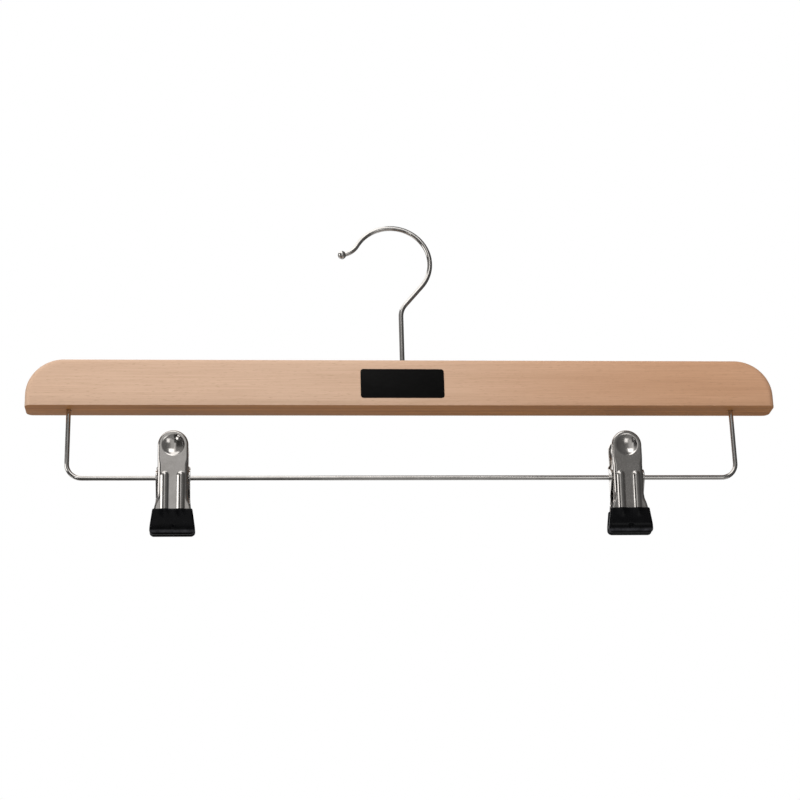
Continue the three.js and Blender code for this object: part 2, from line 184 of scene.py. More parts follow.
beech = {
    "pale": (0.7, 0.475, 0.335),  # towards the left end, painted lighter there as if more light fell on it
    "paintedShadeRight": (0.63, 0.36, 0.215),  # towards the right end, a painted shade: darker and redder there as if less light fell on it
    "paintedShadeSpan": (-0.06, 0.2),  # along x, from the painted light at the left to the painted shade at the right
    "edge": (0.43, 0.18, 0.05),  # painted shade of the underside: a darker, warmer tone, with edge grain streaks over it
    "shadedUndersideFacing": (-0.75, -1),  # the normal's z where the painted underside shade starts and where it is full
    "fleck": (0.36, 0.19, 0.1),
    "bandScale": (4, 60, 75),  # per metre, along x, y and z
    "fibreScale": (30, 1500, 1700),
    "fleckScale": (260, 1700, 2200),
    "streakScale": (5, 420, 300),  # of the edge grain
    "bandTones": ((0.32, (0.9, 0.87, 0.84)), (0.62, (1.02, 1.02, 1.02))),
    "fibreTones": ((0.3, (0.9, 0.87, 0.84)), (0.65, (1.03, 1.03, 1.03))),
    "fleckShares": ((0.62, (0,)), (0.76, (0.32,))),
    "streakTones": ((0.36, (0.8, 0.77, 0.74)), (0.64, (1.12, 1.12, 1.12))),
    "tint": 0.8,  # how strongly bands and fibres colour the wood
    "roughness": (0.45, 0.6),
    "gloss": 0.35,
    "poreBump": (0.15, -0.0001),  # strength, and height in metres
    "fibreBump": (0.12, 0.0001),
}


def beechWood():
    material, nodes, links = newMaterial("beech_lacquered")
    shader = nodes["Principled BSDF"]
    band = stretchedNoise(nodes, links, beech["bandScale"], roughness=0.55)
    fibre = stretchedNoise(nodes, links, beech["fibreScale"])
    fleck = stretchedNoise(nodes, links, beech["fleckScale"], detail=1, roughness=0.4)
    streak = stretchedNoise(nodes, links, beech["streakScale"])
    # Painted light and shade: the colour runs from lighter at the left end to darker and redder at
    # the right
    along = axisShare(nodes, links, "Object", "X", beech["paintedShadeSpan"], "SMOOTHSTEP")
    tone = mixed(nodes, links, along, (*beech["pale"], 1), (*beech["paintedShadeRight"], 1))
    # Painted shade on the underside: downward faces take a darker, warmer tone, streaked with edge
    # grain
    streaks = ramp(nodes, links, streak, *beech["streakTones"])
    edge = mixed(nodes, links, 1, (*beech["edge"], 1), streaks, "MULTIPLY")
    under = axisShare(nodes, links, "Normal", "Z", beech["shadedUndersideFacing"])
    tone = mixed(nodes, links, under, tone, edge)
    for noise, key in ((band, "bandTones"), (fibre, "fibreTones")):
        tones = ramp(nodes, links, noise, *beech[key])
        tone = mixed(nodes, links, beech["tint"], tone, tones, "MULTIPLY")
    dark = ramp(nodes, links, fleck, *beech["fleckShares"])
    tone = mixed(nodes, links, dark, tone, (*beech["fleck"], 1))
    links.new(tone, shader.inputs["Base Color"])
    links.new(spread(nodes, links, fibre, *beech["roughness"]), shader.inputs["Roughness"])
    shader.inputs["Specular IOR Level"].default_value = beech["gloss"]
    pores = bumped(nodes, links, dark, *beech["poreBump"])
    links.new(bumped(nodes, links, fibre, *beech["fibreBump"], pores), shader.inputs["Normal"])
    return material


blackInk = {
    "colour": (0.0028, 0.0026, 0.0025),
    "worn": (0.0045, 0.0043, 0.0041),
    "wearScale": (250, 250, 900),
    "roughness": (0.4, 0.55),
    "gloss": 0.08,
    "bump": (0.05, 0.0001),
}


def printedBlack():
    material, nodes, links = newMaterial("label_black")
    shader = nodes["Principled BSDF"]
    wear = stretchedNoise(nodes, links, blackInk["wearScale"], detail=4)
    tone = ramp(nodes, links, wear, (0.35, blackInk["colour"]), (0.7, blackInk["worn"]))
    links.new(tone, shader.inputs["Base Color"])
    links.new(spread(nodes, links, wear, *blackInk["roughness"]), shader.inputs["Roughness"])
    shader.inputs["Specular IOR Level"].default_value = blackInk["gloss"]
    links.new(bumped(nodes, links, wear, *blackInk["bump"]), shader.inputs["Normal"])
    return material


# Metals: a faint cloud in the colour, and fine marks in the gloss

metals = {
    "wire": {"pale": (0.68, 0.655, 0.625), "dull": (0.58, 0.555, 0.525), "roughness": (0.1, 0.15),
             "marks": (900, 900, 900), "bump": (0.004, 0.00005)},
    "plate": {"pale": (0.66, 0.63, 0.6), "dull": (0.56, 0.53, 0.5), "roughness": (0.12, 0.19),
              "marks": (1600, 500, 160), "bump": (0.02, 0.00005)},
    "spring": {"pale": (0.45, 0.44, 0.43), "dull": (0.34, 0.33, 0.32), "roughness": (0.22, 0.36),
               "marks": (1500, 1500, 1500), "bump": (0.05, 0.00005)},
    "bush": {"pale": (0.52, 0.51, 0.49), "dull": (0.42, 0.41, 0.39), "roughness": (0.25, 0.38),
             "marks": (300, 300, 2400), "bump": (0.06, 0.00005)},
}
metalCloud = (120, 120, 120)


def metal(kind):
    look = metals[kind]
    material, nodes, links = newMaterial(f"nickel_{kind}")
    shader = nodes["Principled BSDF"]
    cloud = stretchedNoise(nodes, links, metalCloud)
    marks = stretchedNoise(nodes, links, look["marks"], roughness=0.65)
    tone = ramp(nodes, links, cloud, (0.35, look["dull"]), (0.65, look["pale"]))
    links.new(tone, shader.inputs["Base Color"])
    links.new(spread(nodes, links, marks, *look["roughness"]), shader.inputs["Roughness"])
    links.new(bumped(nodes, links, marks, *look["bump"]), shader.inputs["Normal"])
    shader.inputs["Metallic"].default_value = 1
    return material


vinyl = {
    "colour": (0.0022, 0.0022, 0.0026),
    "dusty": (0.004, 0.004, 0.0046),
    # a painted highlight: a lighter band along the lips' rounded bottom edge
    "paintedLipHighlight": (0.06, 0.06, 0.067),
    "paintedHighlightSpan": (-0.198, -0.195),  # along z, over the lips, where the painted highlight lies
    "highlightShares": ((0.1, (0,)), (0.5, (1,)), (0.9, (0,))),  # across that span
    "highlightCloud": ((0.35, (0.35,)), (0.65, (1,))),
    "cloudScale": (260, 260, 260),
    "skinScale": (1800, 1800, 1800),
    "roughness": (0.2, 0.3),
    "gloss": 0.12,
    "swellBump": (0.1, 0.0006),
    "skinBump": (0.06, 0.0001),
}


def softVinyl():
    material, nodes, links = newMaterial("vinyl_black")
    shader = nodes["Principled BSDF"]
    cloud = stretchedNoise(nodes, links, vinyl["cloudScale"], detail=4)
    skin = stretchedNoise(nodes, links, vinyl["skinScale"])
    tone = ramp(nodes, links, cloud, (0.4, vinyl["colour"]), (0.75, vinyl["dusty"]))
    # Painted highlight: a lighter, uneven band along the lips' rounded bottom edge, put into the
    # base colour
    overLip = axisShare(nodes, links, "Object", "Z", vinyl["paintedHighlightSpan"])
    lipHighlight = ramp(nodes, links, overLip, *vinyl["highlightShares"])
    uneven = ramp(nodes, links, cloud, *vinyl["highlightCloud"])
    lipHighlight = mixed(nodes, links, 1, lipHighlight, uneven, "MULTIPLY")
    tone = mixed(nodes, links, lipHighlight, tone, (*vinyl["paintedLipHighlight"], 1))
    links.new(tone, shader.inputs["Base Color"])
    links.new(spread(nodes, links, cloud, *vinyl["roughness"]), shader.inputs["Roughness"])
    shader.inputs["Specular IOR Level"].default_value = vinyl["gloss"]
    swell = bumped(nodes, links, cloud, *vinyl["swellBump"])
    links.new(bumped(nodes, links, skin, *vinyl["skinBump"], swell), shader.inputs["Normal"])
    return material


wood = beechWood()
ink = printedBlack()
wireNickel = metal("wire")
plateNickel = metal("plate")
springSteel = metal("spring")
bushSteel = metal("bush")
vinylBlack = softVinyl()
print("materials made")


# Making pieces

def justVerts(geometry):
    return [item for item in geometry if isinstance(item, bmesh.types.BMVert)]


def justEdges(geometry):
    return [item for item in geometry if isinstance(item, bmesh.types.BMEdge)]


def putInScene(name, bm, material):
    mesh = bpy.data.meshes.new(name)
    bm.to_mesh(mesh)
    bm.free()
    mesh.materials.append(material)
    piece = bpy.data.objects.new(name, mesh)
    bpy.context.scene.collection.objects.link(piece)
    return piece


# From millimetres to its place in metres, smooth up to an angle in degrees
def toObject(name, bm, material, sharpest=40):
    bmesh.ops.scale(bm, vec=(mm, mm, mm), verts=bm.verts)
    bmesh.ops.translate(bm, vec=barFoot, verts=bm.verts)
    piece = putInScene(name, bm, material)
    piece.data.shade_smooth()
    piece.data.set_sharp_from_angle(angle=math.radians(sharpest))
    return piece


# Takes the cutters, each a bmesh in millimetres, out of a piece
def drill(piece, cutters, sharpest=40):
    tools = [toObject("cutter", cutter, piece.data.materials[0], sharpest) for cutter in cutters]
    for tool in tools:
        cut = piece.modifiers.new("drill", "BOOLEAN")
        cut.object = tool
        cut.solver = "EXACT"
    ready = piece.evaluated_get(bpy.context.evaluated_depsgraph_get())
    drilled = bpy.data.meshes.new_from_object(ready)
    drilled.name = piece.name
    piece.modifiers.clear()
    piece.data = drilled
    drilled.set_sharp_from_angle(angle=math.radians(sharpest))
    for tool in tools:
        bpy.data.objects.remove(tool)


def standFor(piece, node, body):
    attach(piece, body)
    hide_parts(node)


def rodCutter(start, end, radius, sides=48):
    bm = bmesh.new()
    along = end - start
    turn = along.to_track_quat("Z", "Y").to_matrix().to_4x4()
    place = Matrix.Translation((start + end) / 2) @ turn
    bmesh.ops.create_cone(bm, cap_ends=True, segments=sides, radius1=radius, radius2=radius,
                          depth=along.length, matrix=place)
    return bm


# Wires grow from a ring: straight on, round a bend, or swelling and shrinking

def startWire(bm, centre, heading, radius, sides):
    turn = heading.to_track_quat("Z", "Y").to_matrix().to_4x4()
    place = Matrix.Translation(centre) @ turn
    bmesh.ops.create_circle(bm, segments=sides, radius=radius, matrix=place)
    return bm.edges[:]


def pushWire(bm, ring, step, swell=1):
    made = bmesh.ops.extrude_edge_only(bm, edges=ring)["geom"]
    verts = justVerts(made)
    bmesh.ops.translate(bm, vec=step, verts=verts)
    if swell != 1:
        middle = sum((v.co for v in verts), Vector()) / len(verts)
        bmesh.ops.scale(bm, vec=(swell,) * 3, space=Matrix.Translation(-middle), verts=verts)
    return justEdges(made)


def bendWire(bm, ring, centre, angle, steps, axis=(0, -1, 0), rise=(0, 0, 0)):
    made = bmesh.ops.spin(bm, geom=ring, cent=centre, axis=axis, angle=angle, steps=steps,
                          dvec=rise)
    return justEdges(made["geom_last"])


def closeWire(bm, ring):
    bmesh.ops.edgeloop_fill(bm, edges=ring)


def outwards(bm):
    bmesh.ops.recalc_face_normals(bm, faces=bm.faces)


# A ball on the end of a wire, from the ring where the wire meets it
def ballEnd(bm, ring, heading, wireRadius, ballRadius, rings=14):
    first = math.asin(wireRadius / ballRadius)
    before = first
    for count in range(1, rings):
        angle = first + (math.pi - first) * count / rings
        step = heading * ballRadius * (math.cos(before) - math.cos(angle))
        ring = pushWire(bm, ring, step, math.sin(angle) / math.sin(before))
        before = angle
    tip = pushWire(bm, ring, heading * ballRadius * (math.cos(before) + 1))
    rim = list(dict.fromkeys(v for e in tip for v in e.verts))
    middle = sum((v.co for v in rim), Vector()) / len(rim)
    bmesh.ops.pointmerge(bm, verts=rim, merge_co=middle)


# Hook

bush = {"inner": 1.8, "outer": 3.0, "depth": 14, "chamfer": 0.25}
hook = {
    "wire": 3, "inner": 22.6, "rise": 67, "offset": -5.3,
    "lean": 40, "neckRadius": 12.4,
    "tailStart": 150, "tailTurn": 43, "tailRadius": 12.5, "tailLength": 0.3,
    "ball": 2.6, "headLip": 1, "headHeight": 1.6, "sides": 32, "stepsPerTurn": 120,
}


def polar(centre, radius, angle):
    return centre + radius * Vector((math.cos(angle), 0, math.sin(angle)))


def makeHook():
    radius = hook["wire"] / 2
    lean, leave, back = (math.radians(hook[key]) for key in ("lean", "tailStart", "tailTurn"))
    loopRadius = hook["inner"] + radius
    loop = Vector((hook["offset"], 0, barHeight + hook["rise"]))
    foot = polar(loop, loopRadius, -lean)
    neckRise = foot.z - foot.x / math.tan(lean) - hook["neckRadius"] * math.tan(lean / 2)
    neckCentre = Vector((hook["neckRadius"], 0, neckRise))
    neckEnd = polar(neckCentre, hook["neckRadius"], math.pi - lean)
    tailCentre = polar(loop, loopRadius + hook["tailRadius"], leave)
    heading = polar(Vector(), 1, leave + math.pi / 2 - back)
    bottom = barHeight - bush["depth"] - fit - hook["headHeight"]
    perRadian = hook["stepsPerTurn"] / (2 * math.pi)

    bm = bmesh.new()
    headRadius = radius + hook["headLip"]
    ring = startWire(bm, Vector((0, 0, bottom)), upward, headRadius, hook["sides"])
    closeWire(bm, ring)
    ring = pushWire(bm, ring, upward * hook["headHeight"])
    ring = pushWire(bm, ring, Vector(), radius / headRadius)
    ring = pushWire(bm, ring, upward * (neckRise - bottom - hook["headHeight"]))
    ring = bendWire(bm, ring, neckCentre, -lean, round(lean * perRadian))
    ring = pushWire(bm, ring, foot - neckEnd)
    ring = bendWire(bm, ring, loop, lean + leave, round((lean + leave) * perRadian))
    ring = bendWire(bm, ring, tailCentre, -back, round(back * perRadian))
    ring = pushWire(bm, ring, heading * hook["tailLength"])
    ballEnd(bm, ring, heading, radius, hook["ball"])
    outwards(bm)
    piece = toObject("hook_wire", bm, wireNickel)
    standFor(piece, "swivel_hook", "hook")


# A turned sleeve along z, with its edges broken
def sleeve(inner, outer, length, chamfer, steps=64):
    bm = bmesh.new()
    outline = [(inner, chamfer), (inner + chamfer, 0), (outer - chamfer, 0), (outer, chamfer)]
    outline += [(r, length - z) for r, z in reversed(outline)]
    verts = [bm.verts.new((r, 0, z)) for r, z in outline]
    edges = [bm.edges.new((a, b)) for a, b in zip(verts, verts[1:] + verts[:1])]
    bmesh.ops.spin(bm, geom=verts + edges, cent=(0, 0, 0), axis=(0, 0, 1), angle=2 * math.pi,
                   steps=steps, use_merge=True)
    bmesh.ops.remove_doubles(bm, verts=bm.verts, dist=1e-4)
    outwards(bm)
    return bm


def makeBush():
    bm = sleeve(bush["inner"], bush["outer"], bush["depth"], bush["chamfer"])
    bmesh.ops.translate(bm, vec=upward * (barHeight - bush["depth"]), verts=bm.verts)
    piece = toObject("hook_bush_sleeve", bm, bushSteel, sharpest=30)
    standFor(piece, "hook_bush", "bar")


makeHook()
makeBush()
print("hook and bush made")


# Rail

rail = {
    "wire": 2.8, "span": 400, "drop": 42.8, "bend": 9,
    "sink": 12,  # of the legs in the wood
    "sides": 32, "bendSteps": 32,
}


def makeRail():
    half = rail["span"] / 2
    flat = half - rail["bend"]
    low = rail["bend"] - rail["drop"]
    bm = bmesh.new()
    ring = startWire(bm, Vector((-half, 0, rail["sink"])), -upward, rail["wire"] / 2, rail["sides"])
    closeWire(bm, ring)
    ring = pushWire(bm, ring, upward * (low - rail["sink"]))
    ring = bendWire(bm, ring, (-flat, 0, low), math.pi / 2, rail["bendSteps"])
    ring = pushWire(bm, ring, Vector((2 * flat, 0, 0)))
    ring = bendWire(bm, ring, (flat, 0, low), math.pi / 2, rail["bendSteps"])
    ring = pushWire(bm, ring, upward * (rail["sink"] - low))
    closeWire(bm, ring)
    outwards(bm)
    piece = toObject("rail_wire", bm, wireNickel)
    standFor(piece, "trouser_rail", "bar")


# Bar

bar = {
    "length": 451, "thickness": 18, "shoulder": 22.5, "shoulderSteps": 40,
    "round": 4, "roundSteps": 8,  # along the ends and the top, front and rear
    "underRound": 0.3, "underSteps": 2,  # along the edges of the underside
}


def rectangle(bm, left, right, low, high, y):
    corners = ((left, y, low), (right, y, low), (right, y, high), (left, y, high))
    verts = [bm.verts.new(corner) for corner in corners]
    bm.faces.new(verts)
    return verts


def makeBar():
    half, front = bar["length"] / 2, -bar["thickness"] / 2
    below = -2 * bar["round"]  # the blank reaches lower, so that its rounds run straight off
    bm = bmesh.new()
    corners = rectangle(bm, -half, half, below, barHeight, front)
    bmesh.ops.bevel(bm, geom=corners[2:], offset=bar["shoulder"], offset_type="OFFSET",
                    segments=bar["shoulderSteps"], profile=0.5, affect="VERTICES", material=-1)
    made = bmesh.ops.extrude_face_region(bm, geom=bm.faces[:])["geom"]
    bmesh.ops.translate(bm, vec=(0, bar["thickness"], 0), verts=justVerts(made))
    outwards(bm)
    rims = []
    for edge in bm.edges:
        first, second = (v.co for v in edge.verts)
        if abs(first.y - second.y) < fit and max(first.z, second.z) > below + fit:
            rims.append(edge)
    bmesh.ops.bevel(bm, geom=rims, offset=bar["round"], offset_type="OFFSET",
                    segments=bar["roundSteps"], profile=0.5, affect="EDGES", clamp_overlap=False,
                    material=-1)
    whole = bm.verts[:] + bm.edges[:] + bm.faces[:]
    cut = bmesh.ops.bisect_plane(bm, geom=whole, plane_co=(0, 0, 0), plane_no=-upward,
                                 clear_outer=True)
    bmesh.ops.edgeloop_fill(bm, edges=justEdges(cut["geom_cut"]))
    outwards(bm)
    under = [e for e in bm.edges if max(v.co.z for v in e.verts) < fit / 10]
    bmesh.ops.bevel(bm, geom=under, offset=bar["underRound"], offset_type="OFFSET",
                    segments=bar["underSteps"], profile=0.5, affect="EDGES", material=-1)
    piece = toObject("beech_bar", bm, wood)
    deepest = barHeight - bush["depth"] - hook["headHeight"] - 2 * fit
    holes = [rodCutter(upward * deepest, upward * (barHeight + overshoot), bush["outer"] + fit)]
    for side in (-1, 1):
        leg = Vector((side * rail["span"] / 2, 0, 0))
        end = leg + upward * (rail["sink"] + fit)
        holes.append(rodCutter(leg - upward * overshoot, end, rail["wire"] / 2 + fit))
    drill(piece, holes)
    standFor(piece, "wooden_bar", "bar")


# Label

label = {
    "width": 50.4, "height": 18.6, "thickness": 0.2,
    "corner": 1.8, "cornerSteps": 12, "edgeRound": 0.08, "edgeSteps": 2,
    "shift": -0.95, "drop": 1.15,  # from the middle of the bar's front
}


def makeLabel():
    half, tall = label["width"] / 2, label["height"] / 2
    across, middle = label["shift"], barHeight / 2 - label["drop"]
    onBar = -bar["thickness"] / 2
    bm = bmesh.new()
    corners = rectangle(bm, across - half, across + half, middle - tall, middle + tall, onBar)
    bmesh.ops.bevel(bm, geom=corners, offset=label["corner"], offset_type="OFFSET",
                    segments=label["cornerSteps"], profile=0.5, affect="VERTICES", material=-1)
    made = bmesh.ops.extrude_face_region(bm, geom=bm.faces[:])["geom"]
    bmesh.ops.translate(bm, vec=(0, -label["thickness"], 0), verts=justVerts(made))
    outwards(bm)
    front = onBar - label["thickness"] / 2
    rim = [e for e in bm.edges if all(v.co.y < front for v in e.verts)]
    bmesh.ops.bevel(bm, geom=rim, offset=label["edgeRound"], offset_type="OFFSET",
                    segments=label["edgeSteps"], profile=0.5, affect="EDGES", material=-1)
    standFor(toObject("label_plate", bm, ink, sharpest=50), "label", "bar")


makeRail()
makeBar()
makeLabel()
print("bar, label and rail made")


# Clips: sizes that their pieces share, from the rail's axis

clip = {
    "sheet": 0.8, "handleTop": 27.9, "handleWidth": 18, "shoulderLength": 2,
    "tubeInner": 1.7, "tubeOuter": 2.2, "tubeChamfer": 0.12,
    "earMargin": 2.3, "earClearance": 0.8, "earTop": 8.3, "earBottom": -13,
    "flareTop": -12, "flareRound": 3, "throatWidth": 21.8,
    "jawWidth": 24, "jawCorner": 2, "jawBend": 29.8, "jawGap": 0.3,
    "lipLength": 4.3, "lipAngle": 20,
    "gripWall": 1, "gripEdge": 0.5, "gripTop": -20, "gripCorner": 3,
    "ribSpacing": 9.5, "ribWidth": 4.5, "ribRise": 1.1, "ribRoot": 0.45,
    "ribTop": 2.5, "ribBottom": -25,
    "lipRound": 0.9,  # half the length of sheet that the lip's bend takes
}
lip = math.radians(clip["lipAngle"])
pivotHole = clip["tubeOuter"] + fit
earRadius = pivotHole + clip["earMargin"]
plateStand = earRadius + clip["earClearance"] + clip["sheet"] / 2
earFaces = {"front": clip["handleWidth"] / 2}
earFaces["rear"] = earFaces["front"] + fit + clip["sheet"]
gripHalf = clip["sheet"] / 2 + fit + clip["gripWall"]
dimpleHeight = clip["handleTop"] - clip["handleWidth"] / 2
lipInset = clip["lipLength"] * math.sin(lip)
lipDrop = clip["lipLength"] * math.cos(lip)
lipReach = math.hypot(plateStand - lipInset, clip["jawBend"] + lipDrop)
lipBearing = math.atan2(clip["jawBend"] + lipDrop, plateStand - lipInset)
plateLean = math.acos((clip["jawGap"] / 2 + gripHalf) / lipReach) - lipBearing


def between(value, low, high):
    share = min(max((value - low) / (high - low), 0), 1)
    return share * share * (3 - 2 * share)


def smoothMax(first, second, width):
    near = max(width - abs(first - second), 0) / width
    return max(first, second) + near * near * width / 4


# How far a rib stands out of the sheet, with soft roots
def ribHeight(x, z):
    radius = ((clip["ribWidth"] / 2) ** 2 + clip["ribRise"] ** 2) / (2 * clip["ribRise"])
    low = clip["ribBottom"] + clip["ribWidth"] / 2
    high = clip["ribTop"] - clip["ribWidth"] / 2
    aside = abs(x) - clip["ribSpacing"] / 2
    away = math.hypot(aside, z - min(max(z, low), high))
    crown = clip["ribRise"] - radius + math.sqrt(max(radius ** 2 - away ** 2, 0))
    return smoothMax(crown, 0, clip["ribRoot"])


# Half the width of a plate at a height
def plateHalf(ear, z):
    handle, throat, jaw = (clip[key] / 2 for key in ("handleWidth", "throatWidth", "jawWidth"))
    shoulder = between(-z, -clip["earTop"] - clip["shoulderLength"], -clip["earTop"])
    half = handle + (ear - handle) * shoulder
    flared = smoothMax(clip["flareTop"] - z, 0, clip["flareRound"])
    flare = flared / (clip["flareTop"] - clip["gripTop"])
    straight = clip["jawBend"] + clip["lipLength"] - clip["jawCorner"] + clip["gripTop"]
    taper = min(max((clip["gripTop"] - z) / straight, 0), 1)
    return half + (throat - ear) * min(flare, 1) + (jaw - throat) * taper


# A point of a sheet that turns inwards at the lip, from how far down and how far behind it lies
def onSheet(x, down, behind):
    start = clip["jawBend"] - clip["lipRound"]
    radius = 2 * clip["lipRound"] / lip
    turn = min(max((down - start) / radius, 0), lip)
    rest = max(down - clip["jawBend"] - clip["lipRound"], 0)
    y = radius * (1 - math.cos(turn)) + rest * math.sin(turn)
    z = -min(down, start) - radius * math.sin(turn) - rest * math.cos(turn)
    return Vector((x, -plateStand + y + behind * math.cos(turn), z + behind * math.sin(turn)))


# Plates: a dense sheet with turned edges and ears, a thumb dimple and ribs

plate = {
    "rows": 200, "columns": 144, "fanSteps": 48,
    "handleRound": 1.3, "earRound": 2.2,  # of the turned edge
    "roundStart": 3, "roundEnd": 2,  # above and below the ear's top, between the two
    "earRoot": 0.8, "rimDepth": 2.2, "rimFade": 5,
    "cornerReach": 3,  # jaw corners over which the sheet's end narrows
    "dimpleRadius": 6.5, "dimpleDepth": 1.6, "dimpleRound": 0.35,
    "edgeRound": 0.06, "edgeSteps": 2, "edgeAngle": 60,  # of the sheet's edge above the grip
}


# How deep the turned edge goes behind the sheet's front: an ear round the pivot, a low rim above it
def edgeDepth(z):
    front = -plateStand - clip["sheet"] / 2

    def earReach(anchor, side):
        reach = math.hypot(plateStand, anchor)
        touch = math.atan2(anchor, -plateStand) - side * math.acos(earRadius / reach)
        return earRadius * math.cos(touch), earRadius * math.sin(touch)

    top, bottom = clip["earTop"], clip["earBottom"]
    topY, topZ = earReach(top, 1)
    lowY, lowZ = earReach(bottom, -1)
    if z > top or z < bottom:
        ear = -plateStand
    elif z > topZ:
        ear = -plateStand + (topY + plateStand) * (top - z) / (top - topZ)
    elif z < lowZ:
        ear = -plateStand + (lowY + plateStand) * (z - bottom) / (lowZ - bottom)
    else:
        ear = math.sqrt(earRadius ** 2 - z ** 2)
    rim = plate["rimDepth"] * between(z, bottom - plate["rimFade"], bottom)
    return smoothMax(ear - front, rim, plate["earRoot"])


def makePlate(side, face, place):
    ear = earFaces[face]
    lowest = clip["jawBend"] + clip["lipLength"]
    narrowing = lowest - plate["cornerReach"] * clip["jawCorner"]
    roundStart = -clip["earTop"] - plate["roundStart"]
    roundEnd = -clip["earTop"] + plate["roundEnd"]
    bm = bmesh.new()
    bmesh.ops.create_grid(bm, x_segments=plate["columns"], y_segments=plate["rows"], size=1)
    topRow = {v for v in bm.verts if v.co.y > 0.9999 and v.co.x > -1e-6}
    fan = [e for e in bm.edges if e.verts[0] in topRow and e.verts[1] in topRow]
    for vert in bm.verts:
        column, row = vert.co.x, vert.co.y
        down = -dimpleHeight + (lowest + dimpleHeight) * (1 - row) / 2
        corner = clip["jawCorner"] * between(down, narrowing, lowest)
        half = plateHalf(ear, -down) - corner
        depth = edgeDepth(-down)
        rounder = between(down, roundStart, roundEnd)
        bend = plate["handleRound"] + (plate["earRound"] - plate["handleRound"]) * rounder
        fullTurn = math.acos(max(1 - depth / bend, 0))
        flat = half - bend * math.sin(fullTurn)
        arc = bend * fullTurn
        along = abs(column) * (flat + arc + max(depth - bend, 0))
        turn = min(max(along - flat, 0) / bend, fullTurn)
        x = math.copysign(min(along, flat) + bend * math.sin(turn), column)
        behind = bend * (1 - math.cos(turn)) + max(along - flat - arc, 0)
        vert.co = onSheet(x, down, behind - clip["sheet"] / 2)
    bmesh.ops.spin(bm, geom=fan, cent=(0, 0, dimpleHeight), axis=(0, -1, 0), angle=math.pi,
                   steps=plate["fanSteps"])
    bmesh.ops.remove_doubles(bm, verts=bm.verts, dist=0.005)
    ball = (plate["dimpleRadius"] ** 2 + plate["dimpleDepth"] ** 2) / (2 * plate["dimpleDepth"])
    for vert in bm.verts:
        away = math.hypot(vert.co.x, vert.co.z - dimpleHeight)
        cap = plate["dimpleDepth"] - ball + math.sqrt(max(ball ** 2 - away ** 2, 0))
        if vert.co.y < -plateStand + clip["sheet"]:
            vert.co.y += smoothMax(cap, 0, plate["dimpleRound"]) - ribHeight(vert.co.x, vert.co.z)
    outwards(bm)
    flattest = max(bm.faces, key=lambda f: abs(f.normal.y))
    if flattest.normal.y > 0:
        bmesh.ops.reverse_faces(bm, faces=bm.faces)
    bmesh.ops.solidify(bm, geom=bm.faces[:], thickness=clip["sheet"])
    bm.normal_update()
    shown = [e for e in bm.edges if min(v.co.z for v in e.verts) > clip["gripTop"]]
    rim = [e for e in shown if e.calc_face_angle() > math.radians(plate["edgeAngle"])]
    bmesh.ops.bevel(bm, geom=rim, offset=plate["edgeRound"], offset_type="OFFSET",
                    segments=plate["edgeSteps"], profile=0.5, affect="EDGES", material=-1)
    bmesh.ops.transform(bm, matrix=place, verts=bm.verts)
    piece = toObject(f"{side}_{face}_plate_sheet", bm, plateNickel, sharpest=45)
    middle = place.translation
    reach = Vector((ear + 2 * overshoot, 0, 0))
    drill(piece, [rodCutter(middle - reach, middle + reach, pivotHole)], sharpest=45)
    standFor(piece, f"{side}_{face}_plate", f"{side}_{face}")


# Grips: a dipped pocket, drawn as rings that run up inside it and down outside it

grip = {
    "quarter": 44,  # points on a quarter of a ring
    "sideShare": 0.06, "cornerShare": 0.3,  # of a quarter, where its side and its corner end
    "round": 1.35, "roundMost": 0.96,  # of the ring's half thickness
    "outerRows": 64, "innerRows": 14,
    "dimpleUp": 4.4, "dimpleRadius": 2, "dimpleDepth": 0.85,
    "taper": 10, "edgeRound": 0.25,
    "swell": 0.75, "swellWidth": 2.2,  # over a rib
    "swellFade": 1, "swellEnd": 27,  # from below the grip's top down to where it is gone
}


# A quarter of a flat ring with round corners, from its side to its middle
def ringPoint(share, half, thick):
    corner = min(grip["round"], thick * grip["roundMost"])
    sideEnd, cornerEnd = grip["sideShare"], grip["cornerShare"]
    if share < sideEnd:
        return half, (thick - corner) * share / sideEnd
    if share < cornerEnd:
        turn = math.pi / 2 * (share - sideEnd) / (cornerEnd - sideEnd)
        return half - corner + corner * math.cos(turn), thick - corner + corner * math.sin(turn)
    return (half - corner) * (1 - share) / (1 - cornerEnd), thick


def ringShares():
    count = grip["quarter"]
    shares = [(step + 0.5) / count for step in range(count)]
    quarters = [(1, -1, shares), (-1, -1, shares[::-1]), (-1, 1, shares), (1, 1, shares[::-1])]
    return [(share, right, rear) for right, rear, steps in quarters for share in steps]


# The soft swelling of the vinyl over a rib
def ribSwell(x, down):
    aside = (abs(x) - clip["ribSpacing"] / 2) / grip["swellWidth"]
    fade = 1 - between(down, -clip["gripTop"] + grip["swellFade"], grip["swellEnd"])
    return grip["swell"] * math.exp(-aside ** 2) * fade


